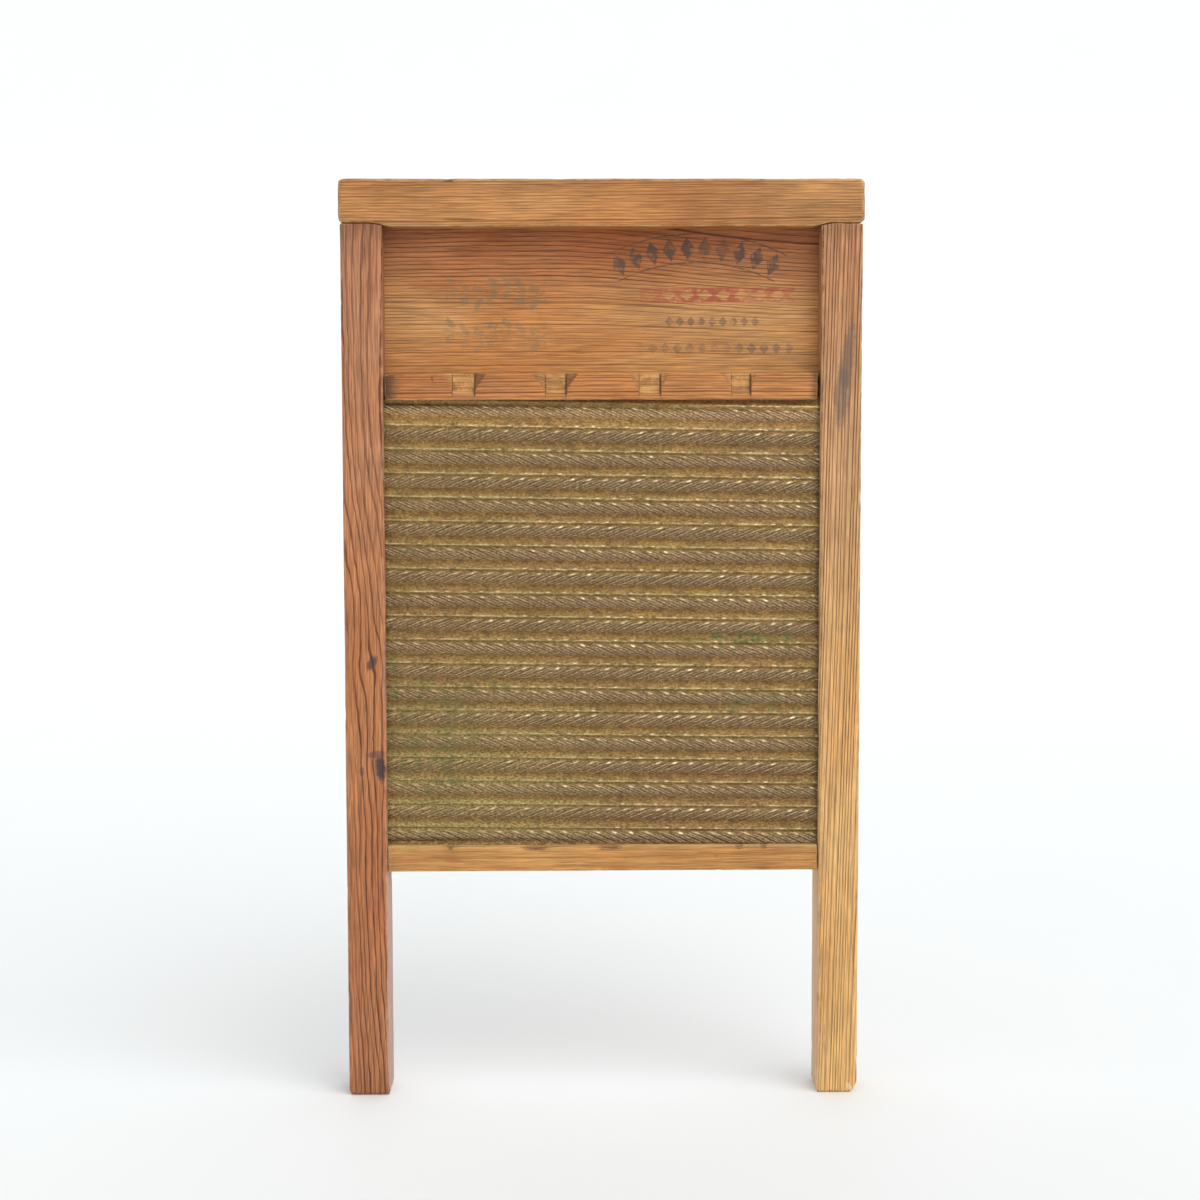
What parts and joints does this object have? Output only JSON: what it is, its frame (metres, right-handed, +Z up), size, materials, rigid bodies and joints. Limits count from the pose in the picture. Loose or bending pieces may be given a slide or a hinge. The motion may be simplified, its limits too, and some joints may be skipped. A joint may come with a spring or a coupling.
{
  "type": "washboard",
  "caption": "Front-drain washboard: wooden posts that run on as legs, a cap, a recessed crest panel, a slotted drain rail and a ribbed brass rubbing sheet on back slats.",
  "frame": {"origin": "on the floor midway between the two feet, half way through the board's depth", "axes": "+Z up the board, +X to the right seen from the front, -Y out of the front, the side with the drain channels"},
  "size_m": [0.315, 0.031, 0.5556],
  "materials": {
    "cap_wood": "bare, worn, long fine grain",
    "left_post_wood": "bare, worn, plain-sawn reddish softwood",
    "right_post_wood": "bare, worn, straight-grained pale softwood",
    "panel_wood": "bare, raised dark latewood lines",
    "drain_wood": "bare, worn",
    "foot_rail_wood": "bare, worn smooth",
    "slat_wood": "bare, rough sawn",
    "aged_brass": "oxidised, bright where rubbed, some green",
    "nail_iron": "dull, rusted"
  },
  "bodies": {
    "root": {"top_cap": "cap_wood", "left_post": "left_post_wood", "right_post": "right_post_wood", "crest_panel": "panel_wood", "drain_rail": "drain_wood", "bottom_rail": "foot_rail_wood", "rubbing_sheet": "aged_brass", "back_slat_top": "slat_wood", "back_slat_middle": "slat_wood", "back_slat_bottom": "slat_wood", "cap_nail_left_front": "nail_iron", "cap_nail_left_back": "nail_iron", "cap_nail_right_front": "nail_iron", "cap_nail_right_back": "nail_iron", "drain_rail_nail_left": "nail_iron", "drain_rail_nail_right": "nail_iron", "bottom_rail_nail_left_front": "nail_iron", "bottom_rail_nail_left_back": "nail_iron", "bottom_rail_nail_right_front": "nail_iron", "bottom_rail_nail_right_back": "nail_iron", "slat_nail_left_top": "nail_iron", "slat_nail_left_middle": "nail_iron", "slat_nail_left_bottom": "nail_iron", "slat_nail_right_top": "nail_iron", "slat_nail_right_middle": "nail_iron", "slat_nail_right_bottom": "nail_iron"}
  },
  "joints": []
}
